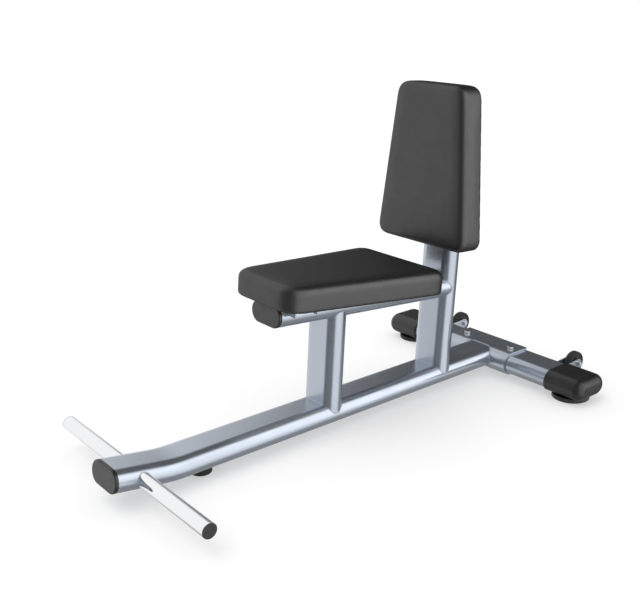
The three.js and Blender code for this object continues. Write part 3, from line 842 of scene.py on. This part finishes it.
def end_cap(name, side):
    node = "stabiliser_cap_" + name
    low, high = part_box(node)
    inner = min(abs(low.x), abs(high.x))
    outer = max(abs(low.x), abs(high.x))
    grow = (high.z - low.z - TUBE_HEIGHT) / 2
    wide = (high.y - low.y - TUBE_WIDTH) / 2 - grow
    at = stabiliser_tube @ Matrix.Scale(side, 4, (0, 0, 1))

    def section(size):
        return [(x + math.copysign(wide, x), y) for x, y in oval(grow - size)]

    pocket = oval(GAP)
    pocket_end = half_size("stabiliser_tube").x + 0.001
    rings = [ring(at, pocket, pocket_end), ring(at, pocket, inner)]
    for inset, rise in reversed(quarter(CAP_LIP, 3)):
        rings.append(ring(at, section(inset), inner + CAP_LIP - rise))
    for inset, rise in quarter(CAP_ROUND, 14):
        rings.append(ring(at, section(inset), outer - CAP_ROUND + rise))
    hole_at = shift(middle("levelling_foot_" + name).x, BASE_Y + STABILISER_Y, 0)
    hole = lathe("stud_hole", hole_at, [(STUD_HOLE, 0.005), (STUD_HOLE, stabiliser_z)], steps=48)
    dress(cut(loft(node + "_fine", rings), hole), node, edge=0.0003)


RIDGES = 48
RIDGE_DEPTH = 0.0018
FOOT_STEPS = RIDGES * 8
DISC_HEIGHT = 0.0131
DISC_SHOULDER = 0.0022
SOLE_WELL = (0.0485, 0.005)  # the radius and the top of the hollow that takes the sole


def ridged(radius, depth):
    """A circle's points with a narrow groove between each ridge and the next."""
    points = []
    for x, y in circle(1, FOOT_STEPS):
        groove = ((1 + math.cos(RIDGES * math.atan2(y, x))) / 2) ** 3
        points.append((x * (radius - depth * groove), y * (radius - depth * groove)))
    return points


def above_floor(node):
    """A frame on the floor under the middle of a node."""
    centre = middle(node)
    return shift(centre.x, centre.y, 0)


def levelling_foot(name):
    node = "levelling_foot_" + name
    low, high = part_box(node)
    at = above_floor(node)
    radius = half_size(node).x
    bottom = low.z
    top = bottom + DISC_HEIGHT
    well, well_top = SOLE_WELL
    rings = [ring(at, circle(0.006, FOOT_STEPS), well_top), ring(at, circle(well, FOOT_STEPS), well_top)]
    rings.append(ring(at, circle(well, FOOT_STEPS), bottom))
    for inset, rise in reversed(quarter(DISC_SHOULDER)):
        depth = RIDGE_DEPTH * (1 - inset / DISC_SHOULDER)
        rings.append(ring(at, ridged(radius - inset, depth), bottom + DISC_SHOULDER - rise))
    rings.append(ring(at, ridged(radius, RIDGE_DEPTH), top - 0.0012))
    rings.append(ring(at, ridged(radius - 0.0004, RIDGE_DEPTH), top - 0.0004))
    rings.append(ring(at, ridged(radius - 0.0016, RIDGE_DEPTH / 2), top))
    rings.append(ring(at, circle(0.007, FOOT_STEPS), top))
    dress(loft(node + "_fine", rings), node, edge=0)
    stud(node, at, top - 0.001, high.z)


PITCH = 0.002
THREAD_RADIUS = 0.008
THREAD_DEPTH = 0.0011
TIP_TAPER = 0.0015
STUD_STEPS = 36


def stud(node, at, low, high):
    """The M16 x 2 stud that is moulded into a levelling foot, with its thread."""
    rings = []
    height = low
    while height < high:
        taper = TIP_TAPER * (1 - min(1.0, (high - height) / TIP_TAPER))
        points = []
        for i, (x, y) in enumerate(circle(1, STUD_STEPS)):
            phase = (height / PITCH - i / STUD_STEPS) % 1
            valley = 1 - abs(2 * phase - 1)
            reach = THREAD_RADIUS - max(THREAD_DEPTH * valley, taper)
            points.append((x * reach, y * reach))
        rings.append(ring(at, points, height))
        height += PITCH / 8
    attach(loft(node.replace("foot", "stud") + "_fine", rings), node, "zinc_hardware")


SOLE_THICKNESS = 0.0046
SOLE_POST = 0.006
SOLE_EDGE = 0.001
GROOVES = 5
GROOVE_DEPTH = 0.0012


def foot_sole(name):
    """The rubber sole, with round grip grooves below and the post that holds it in the foot."""
    node = "foot_sole_" + name
    radius = half_size(node).x
    profile = []
    for i in range(GROOVES):
        start = 0.012 + 0.007 * i
        profile += [(start, 0), (start + 0.0005, GROOVE_DEPTH)]
        profile += [(start + 0.0015, GROOVE_DEPTH), (start + 0.002, 0)]
    profile += [(radius - SOLE_EDGE, 0), (radius, SOLE_EDGE), (radius, SOLE_THICKNESS)]
    profile += [(SOLE_POST, SOLE_THICKNESS), (SOLE_POST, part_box(node)[1].z)]
    dress(lathe(node + "_fine", above_floor(node), profile), node, edge=0.0002)


# ---------- transport wheels ----------


TYRE_SHOULDER = 0.0075
WEB_DEPTH = 0.0038  # how far the hub's web lies behind its end face


def tyre(name):
    node = "wheel_tyre_" + name
    radius = half_size(node).z
    half = half_size(node).x
    bead = half_size("wheel_hub_" + name).z + 0.0001
    rounded = quarter(TYRE_SHOULDER, 8)
    profile = [(bead, -half + 0.0006)]
    profile += [(radius - inset, -half + TYRE_SHOULDER - rise) for inset, rise in reversed(rounded)]
    profile += [(radius - inset, half - TYRE_SHOULDER + rise) for inset, rise in rounded]
    profile.append((bead, half - 0.0006))
    at = shift(*middle(node)) @ ACROSS
    dress(lathe(node + "_fine", at, profile, closed=True), node, edge=0.0003)


def hub(name):
    """The hub's raised middle, the web sunk between it and the rim, and the rim under the tyre."""
    node = "wheel_hub_" + name
    rim = half_size(node).z
    half = half_size("wheel_tyre_" + name).x
    web = half - WEB_DEPTH
    one_side = [
        (0.0043, half),
        (0.0098, half),
        (0.0108, half - 0.0010),
        (0.0112, half - 0.0030),
        (0.0130, web),
        (rim - 0.0045, web),
        (rim - 0.0030, half - 0.0030),
        (rim - 0.0022, half - 0.0012),
        (rim, half - 0.0012),
    ]
    profile = one_side + [(radius, -z) for radius, z in reversed(one_side)]
    at = shift(*middle("wheel_tyre_" + name)) @ ACROSS
    dress(lathe(node + "_fine", at, profile, closed=True), node, edge=0.0003)


# ---------- seat and backrest ----------

SHRINK = 0.0012
CROWN = 0.003
LOWER_EDGE = 0.002
FOAM_VOXEL = 0.004
BOARD_LIFT = 0.0008
HOLD_FADE = 0.008  # above the board, over which the cover comes free
PRESSURE = 4
CLOTH_FRAMES = 20
EVENING_ROUNDS = 40


def foam_block(name, outline, thickness, edge):
    """The pad's shape before it is stuffed, on z = 0, with a pocket for its board."""
    rings = []
    for inset, rise in reversed(quarter(LOWER_EDGE, 2)):
        rings.append(ring(Matrix(), outline(SHRINK + inset), LOWER_EDGE - rise))
    top = thickness - CROWN
    for inset, rise in quarter(edge, 8):
        rings.append(ring(Matrix(), outline(SHRINK + inset), top - edge + rise))
    pocket = [ring(Matrix(), outline(BOARD_INSET), z) for z in (-0.01, BOARD_THICKNESS + 0.001)]
    return cut(loft(name, rings), loft(name + "_pocket", pocket))


def voxel_remeshed(piece):
    """Rebuilds a piece as an even mesh, with the voxels' steps smoothed away."""
    modifier = piece.modifiers.new("voxels", "REMESH")
    modifier.mode = "VOXEL"
    modifier.voxel_size = FOAM_VOXEL
    smooth = piece.modifiers.new("smooth", "SMOOTH")
    smooth.iterations = 5
    return bake(piece)


def evened(values, mesh):
    """The values at a mesh's vertices, each blended with its neighbours'."""
    near = [[] for _ in values]
    for edge in mesh.edges:
        a, b = edge.vertices
        near[a].append(b)
        near[b].append(a)
    for _ in range(EVENING_ROUNDS):
        values = [(v + sum(values[n] for n in group) / len(group)) / 2 for v, group in zip(values, near)]
    return values


def stuffed(piece):
    """Swells the cover under pressure by cloth simulation, held where it wraps the board.

    The foam behind the cover keeps it from sinking in, so only the outward part of the swelling stays.
    """
    rest = [v.co.copy() for v in piece.data.vertices]
    out = [v.normal.copy() for v in piece.data.vertices]
    group = piece.vertex_groups.new(name="held")
    for i, co in enumerate(rest):
        hold = min(1.0, max(0.0, (BOARD_THICKNESS + HOLD_FADE - co.z) / HOLD_FADE))
        group.add([i], hold, "REPLACE")
    cloth = piece.modifiers.new("cover", "CLOTH")
    cloth.settings.use_pressure = True
    cloth.settings.uniform_pressure_force = PRESSURE
    cloth.settings.vertex_group_mass = "held"
    cloth.settings.effector_weights.gravity = 0
    cloth.point_cache.frame_start = 1
    cloth.point_cache.frame_end = CLOTH_FRAMES
    scene = bpy.context.scene
    for step in range(1, CLOTH_FRAMES + 1):
        scene.frame_set(step)
    bake(piece)
    moves = zip(piece.data.vertices, rest, out)
    swells = [min(max((vertex.co - start).dot(normal), 0.0), CROWN) for vertex, start, normal in moves]
    swells = evened(swells, piece.data)
    for vertex, start, normal, swell in zip(piece.data.vertices, rest, out, swells):
        vertex.co = start + normal * swell
    scene.frame_set(1)


def cushion(node, at, outline, thickness, edge):
    piece = voxel_remeshed(foam_block(node + "_cushion", outline, thickness, edge))
    stuffed(piece)
    round_off = piece.modifiers.new("round", "SUBSURF")
    round_off.levels = 1
    bake(piece)
    for vertex in piece.data.vertices:
        vertex.co.z = max(vertex.co.z, 0.0)
    piece.data.transform(at)
    dress(piece, node, edge=0)


HEM_INSET = 0.006
HEM = 0.024
HEM_LOW = 0.0002
HEM_HIGH = 0.0012
STAPLE_STEP = 0.030
STAPLE_HALF = 0.0052
STAPLE_DEPTH = 0.004
WIRE = 0.0004


def hem(node, at, outline):
    """The cover's turned-in edge under the board, and the staples that hold it."""
    outer = outline(HEM_INSET)
    inner = outline(HEM_INSET + HEM)
    rings = [ring(at, outer, HEM_LOW), ring(at, inner, HEM_LOW)]
    rings += [ring(at, inner, HEM_HIGH), ring(at, outer, HEM_HIGH)]
    attach(loft(node + "_hem", rings, closed=True), node, "upholstery", smooth=False)

    line = [Vector((x, y, 0)) for x, y in outline(HEM_INSET + 0.7 * HEM)]
    points = resampled(line, STAPLE_STEP)
    wires = []
    for i, point in enumerate(points):
        tangent = (points[(i + 1) % len(points)] - points[i - 1]).normalized()
        turn = Matrix.Rotation(math.atan2(tangent.y, tangent.x), 4, "Z")
        wires.append(staple(at @ Matrix.Translation(point) @ turn))
    attach(join(node + "_staples", wires), node, "zinc_hardware", smooth=False)


def staple(at):
    """A staple's crown, bent down into the board at both ends."""
    path = [  # x, z, and which way in x and z the wire's inner side lies
        (-STAPLE_HALF, STAPLE_DEPTH, 1, 0),
        (-STAPLE_HALF, HEM_LOW, 1, 1),
        (STAPLE_HALF, HEM_LOW, -1, 1),
        (STAPLE_HALF, STAPLE_DEPTH, -1, 0),
    ]
    aside = Vector((0, WIRE, 0))
    rings = []
    for x, z, inward_x, inward_z in path:
        centre = Vector((x, 0, z))
        inward = Vector((inward_x, 0, inward_z)) * WIRE
        corners = (-inward - aside, -inward + aside, inward + aside, inward - aside)
        rings.append([at @ (centre + corner) for corner in corners])
    return loft("staple", rings)


def board(node, at, outline):
    """The plywood board, a little above the hem's lower face."""
    rings = [ring(at, outline(BOARD_INSET), z) for z in (BOARD_LIFT, BOARD_THICKNESS)]
    dress(loft(node + "_fine", rings), node, edge=0.0008)


def pads():
    narrow, wide = PAD_NARROW / 2, PAD_WIDE / 2
    above_rail = TUBE_HEIGHT / 2 + GAP

    def seat_outline(inset):
        return pad_outline(narrow, wide, SEAT_FRONT, SEAT_REAR, 0.058, 0.046, inset)

    def back_outline(inset):
        return pad_outline(wide, narrow, BACK_BOTTOM, BACK_TOP, 0.040, 0.040, inset)

    seat_at = seat @ shift(0, 0, above_rail)
    back_at = rear_post @ shift(0, -above_rail, 0) @ FORWARD
    cushion("seat_pad", seat_at, seat_outline, SEAT_THICKNESS, 0.020)
    cushion("back_pad", back_at, back_outline, BACK_THICKNESS, 0.016)
    board("seat_board", seat_at, seat_outline)
    board("back_board", back_at, back_outline)
    hem("seat_pad", seat_at, seat_outline)
    hem("back_pad", back_at, back_outline)


# ---------- the studio ----------


def from_angles(azimuth, elevation):
    """The direction seen at an azimuth (0 is the front, 90 the sitter's left) and elevation, in degrees."""
    a, e = math.radians(azimuth), math.radians(elevation)
    return Vector((math.sin(a) * math.cos(e), -math.cos(a) * math.cos(e), math.sin(e)))


# The soft boxes and dark screens that shiny surfaces mirror, each laid over the ones before it, in degrees:
# (azimuth, elevation, half width, half height, soft edge, brightness).
DIM = 0.32
PANELS = [
    (12, 35, 52, 62, 14, 0.18),
    (-165, 42, 45, 62, 14, 0.06),
    (-80, 10, 46, 48, 24, 0.93),
    (97, 13, 38, 47, 28, 1.20),
    (135, 20, 16, 30, 20, 1.85),
]


class World:
    """The world's node tree, with helpers that add its math nodes."""

    def __init__(self):
        world = bpy.data.worlds.new("studio")
        bpy.context.scene.world = world
        world.use_nodes = True
        self.tree = world.node_tree
        self.tree.nodes.clear()

    def put(self, socket, value):
        if isinstance(value, bpy.types.NodeSocket):
            self.tree.links.new(value, socket)
        else:
            socket.default_value = value

    def math(self, operation, *values):
        node = self.tree.nodes.new("ShaderNodeMath")
        node.operation = operation
        for socket, value in zip(node.inputs, values):
            self.put(socket, value)
        return node.outputs[0]

    def mix(self, share, first, second):
        node = self.tree.nodes.new("ShaderNodeMix")
        for key, value in (("Factor", share), ("A", first), ("B", second)):
            self.put(node.inputs[key], value)
        return node.outputs["Result"]

    def within(self, distance, reach, soft):
        """1 inside the reach, falling softly to 0 outside it."""
        node = self.tree.nodes.new("ShaderNodeMapRange")
        node.interpolation_type = "SMOOTHSTEP"
        self.put(node.inputs["Value"], distance)
        node.inputs["From Min"].default_value = math.radians(reach + soft / 2)
        node.inputs["From Max"].default_value = math.radians(reach - soft / 2)
        return node.outputs["Result"]


def studio_world():
    """White for the camera, an even white dome for matt surfaces, and the panels for shiny ones."""
    world = World()
    new = world.tree.nodes.new
    split = new("ShaderNodeSeparateXYZ")
    world.put(split.inputs[0], new("ShaderNodeTexCoord").outputs["Generated"])
    x, y, z = split.outputs
    azimuth = world.math("ARCTAN2", x, world.math("MULTIPLY", y, -1.0))
    elevation = world.math("ARCSINE", z)

    brightness = DIM
    for turn, height, half_width, half_height, soft, level in PANELS:
        aside = world.math("SUBTRACT", azimuth, math.radians(turn))
        aside = world.math("ABSOLUTE", world.math("WRAP", aside, math.pi, -math.pi))
        above = world.math("ABSOLUTE", world.math("SUBTRACT", elevation, math.radians(height)))
        wide = world.within(aside, half_width, soft)
        high = world.within(above, half_height, soft)
        brightness = world.mix(world.math("MULTIPLY", wide, high), brightness, level)

    rays = new("ShaderNodeLightPath").outputs
    strength = world.mix(rays["Is Glossy Ray"], 0.8, brightness)
    strength = world.mix(rays["Is Camera Ray"], strength, 1.0)
    background = new("ShaderNodeBackground")
    background.inputs["Color"].default_value = (1, 1, 1, 1)
    world.put(background.inputs["Strength"], strength)
    world.put(new("ShaderNodeOutputWorld").inputs["Surface"], background.outputs["Background"])


FLOOR_GLOW = 0.45


def studio_floor():
    """A pale floor that fades into the white round it. Shiny surfaces mirror the panels instead of it."""
    look = Look("pale_floor", roughness=0.9, specular_ior_level=0.0, emission_strength=FLOOR_GLOW)
    look.set("Emission Color", (1.0, 1.0, 1.0))
    look.drive("Base Color", look.blend(look.noise(3, 2.0), (0.56, 0.56, 0.565), (0.58, 0.58, 0.58)))
    size = 60
    floor = new_piece(
        "floor",
        [(-size, -size, 0), (size, -size, 0), (size, size, 0), (-size, size, 0)],
        [(0, 1, 2, 3)],
    )
    floor.data.materials.append(look.material)
    floor.visible_glossy = False


def soft_sun(azimuth, elevation, strength):
    data = bpy.data.lights.new("sun", "SUN")
    data.angle = math.radians(50)
    data.energy = strength
    light = bpy.data.objects.new("sun", data)
    light.rotation_mode = "QUATERNION"
    light.rotation_quaternion = (-from_angles(azimuth, elevation)).to_track_quat("-Z", "Y")
    light.visible_glossy = False
    bpy.context.scene.collection.objects.link(light)


CAMERA_AZIMUTH = 50.5
CAMERA_ELEVATION = 18.8
CAMERA_ROLL = -0.14
CAMERA_DISTANCE = 2.614
CAMERA_LENS = 52.9
CAMERA_AIM = Vector((-0.079, -0.036, 0.339))


def studio_camera():
    data = bpy.data.cameras.new("camera")
    data.lens = CAMERA_LENS
    data.sensor_width = 36
    camera = bpy.data.objects.new("camera", data)
    back = from_angles(CAMERA_AZIMUTH, CAMERA_ELEVATION)
    right = from_angles(CAMERA_AZIMUTH + 90, 0)
    up = back.cross(right)
    turn = Matrix((right, up, back)).transposed().to_4x4()
    roll = Matrix.Rotation(math.radians(CAMERA_ROLL), 4, "Z")
    camera.matrix_world = Matrix.Translation(CAMERA_AIM + back * CAMERA_DISTANCE) @ turn @ roll
    bpy.context.scene.collection.objects.link(camera)
    bpy.context.scene.camera = camera


def studio():
    studio_world()
    studio_floor()
    soft_sun(-20, 62, 0.9)
    studio_camera()
    bpy.context.scene.view_settings.view_transform = "Standard"


# ---------- the bench ----------

main_beam()
uprights_and_rail()
cross_tube()
welds()
foot_bar()
end_plugs()
front_foot()
refined("stabiliser_sleeve", 0.0009)
for side_name, side_sign in SIDES.items():
    sleeve_fasteners(side_name)
    axle_fasteners(side_name)
    pad_bolts(side_name, side_sign)
    plates(side_name)
    end_cap(side_name, side_sign)
    levelling_foot(side_name)
    foot_sole(side_name)
    tyre(side_name)
    hub(side_name)
pads()
studio()
